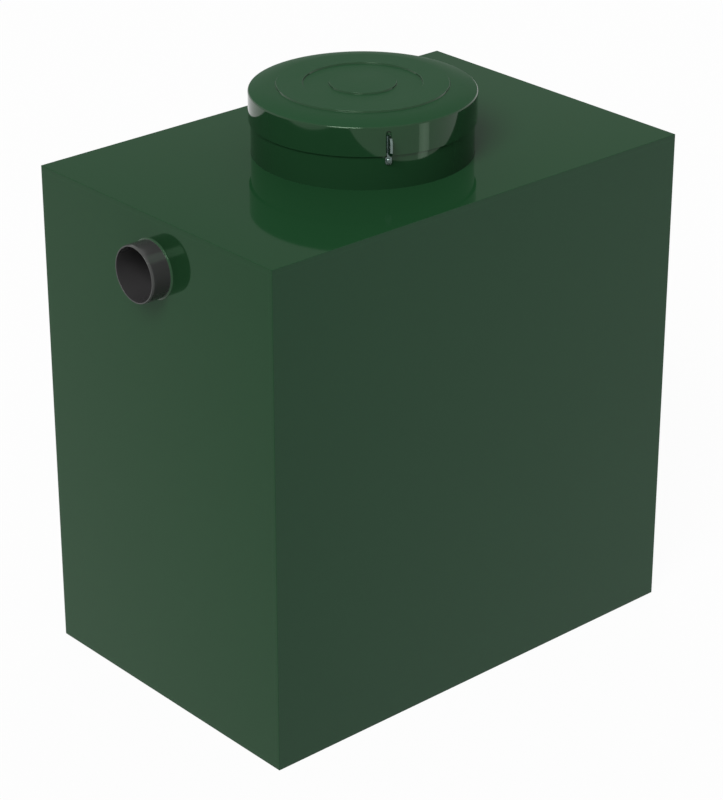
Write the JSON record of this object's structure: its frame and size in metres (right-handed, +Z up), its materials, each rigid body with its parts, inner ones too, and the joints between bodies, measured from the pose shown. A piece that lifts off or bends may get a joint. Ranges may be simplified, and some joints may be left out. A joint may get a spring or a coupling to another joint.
{
  "type": "grease trap",
  "caption": "Box-shaped welded plastic grease trap with inlet and outlet pipe stubs, inner weir, baffle and dip pipes, and a round manhole neck with a lift-off lid.",
  "frame": {"origin": "middle of the tank's underside", "axes": "+X from the inlet end to the outlet end, +Y to the rear wall, +Z up"},
  "size_m": [1.086, 0.665, 1.133],
  "materials": {
    "green_sheet": "glossy dark green plastic sheet",
    "green_moulding": "glossy dark green moulded plastic",
    "grey_pipe": "dark grey extruded pipe, satin",
    "black_rubber": "black rubber",
    "stainless": "bright stainless steel"
  },
  "bodies": {
    "tank": {"floor_plate": "green_sheet", "front_wall": "green_sheet", "rear_wall": "green_sheet", "inlet_wall": "green_sheet", "outlet_wall": "green_sheet", "top_plate": "green_sheet", "sludge_weir": "green_sheet", "grease_baffle": "green_sheet", "lower_rib_front": "green_sheet", "upper_rib_front": "green_sheet", "lower_rib_rear": "green_sheet", "upper_rib_rear": "green_sheet", "inlet_pipe": "grey_pipe", "inlet_tee": "grey_pipe", "inlet_tee_seal": "black_rubber", "inlet_dip_pipe": "grey_pipe", "inlet_dip_seal": "black_rubber", "inlet_pipe_bracket": "green_sheet", "outlet_pipe": "grey_pipe", "outlet_tee": "grey_pipe", "outlet_tee_seal": "black_rubber", "outlet_dip_pipe": "grey_pipe", "outlet_dip_seal": "black_rubber", "outlet_pipe_bracket": "green_sheet", "neck": "green_moulding", "neck_gasket": "black_rubber", "neck_eye": "stainless", "eye_bolt": "stainless", "eye_washer": "stainless", "eye_nut": "stainless"},
    "lid": {"lid": "green_moulding"}
  },
  "joints": [
    {"name": "lid_lift", "type": "slide", "parent": "tank", "child": "lid", "axis": [0, 0, 1], "range_m": [0, 0.3]}
  ]
}
